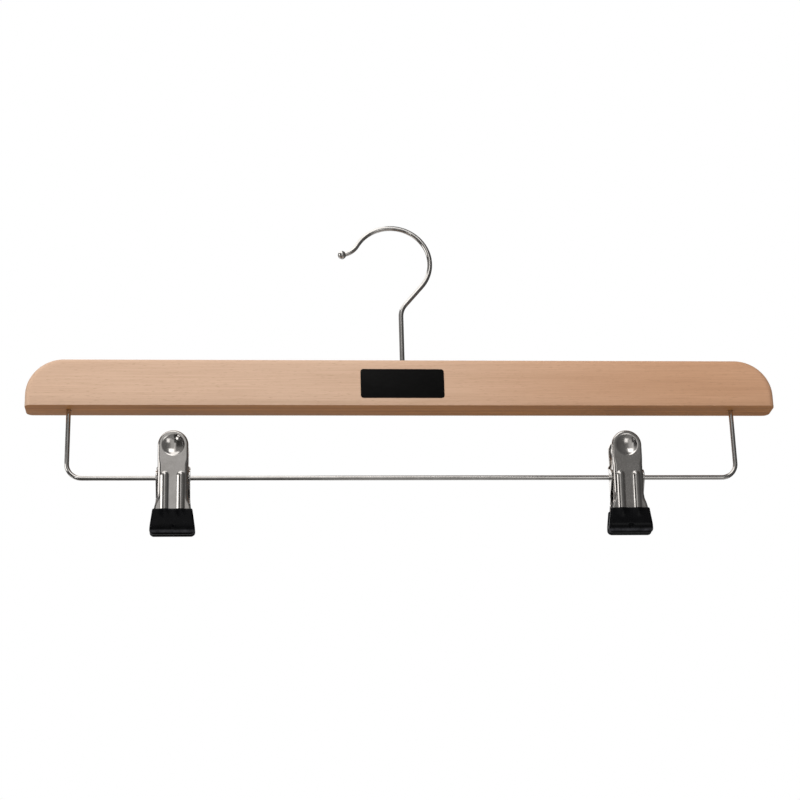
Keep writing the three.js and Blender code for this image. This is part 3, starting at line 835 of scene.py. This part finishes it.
def makeGrip(side, face, place):
    ear = earFaces[face]
    top = -clip["gripTop"]
    outerEnd = clip["jawBend"] + clip["lipLength"] + fit + clip["gripWall"]
    innerEnd = outerEnd - clip["gripWall"]
    pocketHalf = clip["sheet"] / 2 + fit
    shares = ringShares()

    def layRing(verts, down, end, wall, rounding):
        half = plateHalf(ear, -down) + fit + wall
        thick = pocketHalf + wall
        corner = max(down - end + rounding, 0)
        half -= rounding - math.sqrt(max(rounding ** 2 - corner ** 2, 0))
        close = max(down - end + thick, 0)
        thick = math.sqrt(max(thick ** 2 - close ** 2, 0))
        for vert, (share, right, rear) in zip(verts, shares):
            x, y = ringPoint(share, half, max(thick, 1e-6))
            x, y = x * right, y * rear
            if rear < 0 and thick > 1e-3:
                swell = ribSwell(x, down) if wall else ribHeight(x, -down)
                y -= swell * -y / thick
                away = math.hypot(x, down - outerEnd + grip["dimpleUp"])
                y += wall * grip["dimpleDepth"] * between(-away, -grip["dimpleRadius"], 0)
            point = leaned @ onSheet(x, down, y)
            point.y = min(point.y, -clip["jawGap"] / 2)
            vert.co = point

    leaned = Matrix.Rotation(plateLean, 4, "X")
    inner = [innerEnd - (innerEnd - top) * math.sin(math.pi / 2 * row / grip["innerRows"])
             for row in range(grip["innerRows"] + 1)]
    outer = [top + (outerEnd - top) * math.sin(math.pi / 2 * row / grip["outerRows"])
             for row in range(grip["outerRows"] + 1)]
    rows = [(down, innerEnd, 0, clip["jawCorner"]) for down in inner]
    for down in outer:
        thicker = min((down - top) / grip["taper"], 1)
        wall = clip["gripEdge"] + (clip["gripWall"] - clip["gripEdge"]) * thicker
        lift = grip["edgeRound"] * (1 - between(down, top, top + 2 * grip["edgeRound"]))
        rows.append((down, outerEnd, wall - lift, clip["gripCorner"]))

    bm = bmesh.new()
    bmesh.ops.create_circle(bm, segments=len(shares), radius=1)
    ring, verts = bm.edges[:], bm.verts[:]
    layRing(verts, *rows[0])
    for row in rows[1:]:
        made = bmesh.ops.extrude_edge_only(bm, edges=ring)["geom"]
        ring = justEdges(made)
        layRing(justVerts(made), *row)
    bmesh.ops.remove_doubles(bm, verts=bm.verts, dist=0.002)
    outwards(bm)
    bmesh.ops.transform(bm, matrix=place @ leaned.inverted(), verts=bm.verts)
    piece = toObject(f"{side}_{face}_grip_vinyl", bm, vinylBlack, sharpest=60)
    standFor(piece, f"{side}_{face}_grip", f"{side}_{face}")


# Springs and pivot tubes

spring = {
    "wire": 1.2, "turns": 4,
    "space": 0.6, "clearance": 0.45,  # between its turns, and round the tube
    "sides": 16, "stepsPerTurn": 40,
}


def makeSpring(side, centre):
    wire = spring["wire"]
    radius = clip["tubeOuter"] + spring["clearance"] + wire / 2
    leg = dimpleHeight - plate["dimpleRadius"] - clip["sheet"] - wire
    seat = plateStand - clip["sheet"] / 2 - fit - wire / 2
    lean = math.atan2(leg, radius) - math.acos(seat / math.hypot(radius, leg)) + plateLean
    sweep = 2 * math.pi * spring["turns"] + math.pi - 2 * lean
    length = (wire + spring["space"]) * sweep / (2 * math.pi)
    steps = round(spring["stepsPerTurn"] * sweep / (2 * math.pi))
    coilStart = Vector((-length / 2, -radius * math.cos(lean), -radius * math.sin(lean)))
    legRun = leg * Vector((0, math.sin(lean), -math.cos(lean)))
    bm = bmesh.new()
    ring = startWire(bm, coilStart - legRun, legRun, wire / 2, spring["sides"])
    closeWire(bm, ring)
    ring = pushWire(bm, ring, legRun)
    ring = bendWire(bm, ring, (0, 0, 0), sweep, steps, (1, 0, 0), (length / steps, 0, 0))
    ring = pushWire(bm, ring, Vector((0, legRun.y, -legRun.z)))
    closeWire(bm, ring)
    outwards(bm)
    bmesh.ops.translate(bm, vec=centre, verts=bm.verts)
    piece = toObject(f"{side}_spring_coil", bm, springSteel)
    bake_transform(piece)
    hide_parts(f"{side}_spring")


def makeTube(side, centre):
    half = earFaces["rear"]
    bm = sleeve(clip["tubeInner"], clip["tubeOuter"], 2 * half, clip["tubeChamfer"])
    bmesh.ops.translate(bm, vec=upward * -half, verts=bm.verts)
    alongRail = Matrix.Rotation(math.pi / 2, 3, "Y")
    bmesh.ops.rotate(bm, cent=(0, 0, 0), matrix=alongRail, verts=bm.verts)
    bmesh.ops.translate(bm, vec=centre, verts=bm.verts)
    piece = toObject(f"{side}_pivot_sleeve", bm, bushSteel, sharpest=30)
    standFor(piece, f"{side}_pivot_tube", f"{side}_tube")


for side in ("left", "right"):
    low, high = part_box(f"{side}_pivot_tube")
    centre = ((low + high) / 2 - barFoot) / mm
    makeTube(side, centre)
    makeSpring(side, centre)
    for face in ("front", "rear"):
        facing = Matrix.Rotation(0 if face == "front" else math.pi, 4, "Z")
        place = Matrix.Translation(centre) @ facing @ Matrix.Rotation(plateLean, 4, "X")
        makePlate(side, face, place)
        makeGrip(side, face, place)
    print(side, "clip made")


# Stage: a pale floor, a white world, soft lamps, and cards that only the metal sees

stage = {
    "floorDrop": 1.5, "floorSize": 30, "floorRoughness": 0.8,
    "floorTint": (0.86, 0.86, 0.85), "floorDim": 0.97, "floorCloud": (3, 3, 3),
    "floorWhite": 0.75,  # how white the floor is to the camera and the metal, under its own shading
    "worldDiffuse": 0.25,  # the world's light on the pieces, against 1 as background
    "seenBy": ("Is Camera Ray", "Is Glossy Ray", "Is Transmission Ray"),
}


# One for the rays that see the white background, and nothing for the others
def backgroundRays(nodes, links):
    path = addNode(nodes, "ShaderNodeLightPath")
    share = path.outputs[stage["seenBy"][0]]
    for kind in stage["seenBy"][1:]:
        most = addNode(nodes, "ShaderNodeMath", operation="MAXIMUM")
        links.new(share, most.inputs[0])
        links.new(path.outputs[kind], most.inputs[1])
        share = most.outputs[0]
    return share


def makeWorld():
    world = bpy.data.worlds.new("white_room")
    bpy.context.scene.world = world
    world.use_nodes = True
    nodes, links = world.node_tree.nodes, world.node_tree.links
    shown = backgroundRays(nodes, links)
    background = nodes["Background"]
    background.inputs["Color"].default_value = (1, 1, 1, 1)
    links.new(spread(nodes, links, shown, stage["worldDiffuse"], 1), background.inputs["Strength"])


def makeFloor():
    material, nodes, links = newMaterial("floor_pale")
    shader = nodes["Principled BSDF"]
    cloud = stretchedNoise(nodes, links, stage["floorCloud"], roughness=0.5)
    tint = stage["floorTint"]
    dim = tuple(stage["floorDim"] * part for part in tint)
    links.new(ramp(nodes, links, cloud, (0.3, dim), (0.7, tint)), shader.inputs["Base Color"])
    shader.inputs["Roughness"].default_value = stage["floorRoughness"]
    shown = backgroundRays(nodes, links)
    glow = addNode(nodes, "ShaderNodeEmission", {"Color": (1, 1, 1, 1), "Strength": 1})
    both = addNode(nodes, "ShaderNodeMixShader")
    links.new(spread(nodes, links, shown, 0, stage["floorWhite"]), both.inputs["Fac"])
    links.new(shader.outputs["BSDF"], both.inputs[1])
    links.new(glow.outputs["Emission"], both.inputs[2])
    links.new(both.outputs["Shader"], nodes["Material Output"].inputs["Surface"])
    bm = bmesh.new()
    bmesh.ops.create_grid(bm, x_segments=1, y_segments=1, size=stage["floorSize"])
    bmesh.ops.translate(bm, vec=(0, 0, -stage["floorDrop"]), verts=bm.verts)
    putInScene("floor", bm, material)


# Lamps light the surfaces, and the cards are what the metal reflects.
# A card's tone runs from its left to its right.

lamps = {
    "key": {"azimuth": -32, "elevation": 38, "away": 2.8, "size": 2, "power": 55.5},
    "front": {"azimuth": 3, "elevation": 38, "away": 2.6, "size": 1, "power": 12},
    "back": {"azimuth": 160, "elevation": 36, "away": 2.8, "size": 2, "power": 40},
}
cards = {
    "frontSoft": {"azimuth": (-13, 13), "elevation": (28, 46), "tone": (2.2, 2.2)},
    "front": {"azimuth": (-12, 5), "elevation": (-2, 28), "tone": (0.55, 0.48)},
    "frontEdge": {"azimuth": (-20, -12), "elevation": (-2, 28), "tone": (0.5, 0.9)},
    "frontRight": {"azimuth": (5, 30), "elevation": (-2, 28), "tone": (0.27, 0.1)},
    "frontRightHigh": {"azimuth": (13, 30), "elevation": (28, 46), "tone": (0.3, 0.12)},
    "overheadFront": {"azimuth": (-30, 0), "elevation": (46, 58), "tone": (1.6, 1.3)},
    "overheadMiddle": {"azimuth": (0, 13), "elevation": (46, 58), "tone": (0.9, 0.3)},
    "overheadRight": {"azimuth": (13, 130), "elevation": (44, 58), "tone": (0.12, 0.12)},
    "overheadLeft": {"azimuth": (-130, -30), "elevation": (42, 58), "tone": (1.6, 1.6)},
    "zenithLeft": {"azimuth": (-180, 9), "elevation": (58, 90), "tone": (1.6, 1.6)},
    "zenithRight": {"azimuth": (9, 180), "elevation": (58, 90), "tone": (0.3, 0.08)},
    "behindLeft": {"azimuth": (-180, -148), "elevation": (12, 58), "tone": (1.3, 1.1)},
    "behindRight": {"azimuth": (130, 180), "elevation": (-24, 58), "tone": (0.1, 0.12)},
    "leftStrip": {"azimuth": (-94, -56), "elevation": (-8, 14), "tone": (2, 2)},
    "leftHigh": {"azimuth": (-148, -20), "elevation": (21, 42), "tone": (0.24, 0.24)},
    "leftMiddle": {"azimuth": (-148, -20), "elevation": (14, 21), "tone": (0.13, 0.13)},
    "left": {"azimuth": (-56, -20), "elevation": (-40, 14), "tone": (0.08, 0.03)},
    "leftLow": {"azimuth": (-94, -56), "elevation": (-40, -8), "tone": (0.1, 0.1)},
    "leftBack": {"azimuth": (-180, -94), "elevation": (-24, 12), "tone": (0.6, 0.1)},
    "right": {"azimuth": (30, 60), "elevation": (-40, 44), "tone": (0.15, 0.1)},
    "rightFar": {"azimuth": (60, 130), "elevation": (-40, 44), "tone": (0.08, 0.06)},
    "lowFront": {"azimuth": (-11, 13), "elevation": (-18, -2), "tone": (0.6, 0.4)},
    "lowRight": {"azimuth": (13, 30), "elevation": (-22, -2), "tone": (0.3, 0.12)},
    "railGlow": {"azimuth": (10, 24), "elevation": (-22, -4), "tone": (1.5, 1.5), "away": 1.5},
    "lowLeft": {"azimuth": (-20, -11), "elevation": (-40, -2), "tone": (0.04, 0.06)},
    "lipLeft": {"azimuth": (-11, 2), "elevation": (-40, -18), "tone": (0.3, 0.25)},
    "lipRight": {"azimuth": (2, 30), "elevation": (-40, -22), "tone": (0.25, 0.15)},
    "lowSpot": {"azimuth": (-32, -23), "elevation": (-26, -17), "tone": (3, 3), "away": 1.5},
    "underLeft": {"azimuth": (-180, 0), "elevation": (-88, -40), "tone": (0.08, 0.08), "away": 1.3},
    "underRight": {"azimuth": (0, 180), "elevation": (-88, -40), "tone": (0.3, 0.36), "away": 1.3},
}
cardAway = 1.6
cardStep = 6  # degrees between the points of a card, at most
aim = Vector((0.005, 0, -0.11))


def makeLamp(name):
    lamp = lamps[name]
    data = bpy.data.lights.new(name, "AREA")
    data.energy = lamp["power"]
    data.size = lamp["size"]
    light = bpy.data.objects.new(name, data)
    away = towards(lamp["azimuth"], lamp["elevation"])
    turn = away.to_track_quat("Z", "Y").to_matrix().to_4x4()
    light.matrix_world = Matrix.Translation(aim + away * lamp["away"]) @ turn
    light.visible_glossy = False
    bpy.context.scene.collection.objects.link(light)


# The cards are patches of a ball, and each vertex keeps how bright it is
def makeCards():
    material, nodes, links = newMaterial("reflection_card")
    tone = addNode(nodes, "ShaderNodeAttribute", attribute_name="tone")
    glow = addNode(nodes, "ShaderNodeEmission", {"Color": (1, 1, 1, 1)})
    links.new(tone.outputs["Fac"], glow.inputs["Strength"])
    links.new(glow.outputs["Emission"], nodes["Material Output"].inputs["Surface"])
    bm = bmesh.new()
    brightness = bm.verts.layers.float.new("tone")
    for card in cards.values():
        (left, right), (low, high), (first, last) = card["azimuth"], card["elevation"], card["tone"]
        columns, rows = (math.ceil(span / cardStep) for span in (right - left, high - low))
        made = bmesh.ops.create_grid(bm, x_segments=columns, y_segments=rows, size=1)
        for vert in made["verts"]:
            across, up = (vert.co.x + 1) / 2, (vert.co.y + 1) / 2
            vert[brightness] = first + (last - first) * across
            away = towards(left + (right - left) * across, low + (high - low) * up)
            vert.co = aim + away * card.get("away", cardAway)
    boards = putInScene("reflection_cards", bm, material)
    for sight in ("camera", "diffuse", "transmission", "volume_scatter", "shadow"):
        setattr(boards, f"visible_{sight}", False)


makeWorld()
makeFloor()
for name in lamps:
    makeLamp(name)
makeCards()
bpy.context.scene.view_settings.view_transform = "Standard"
print("stage made")
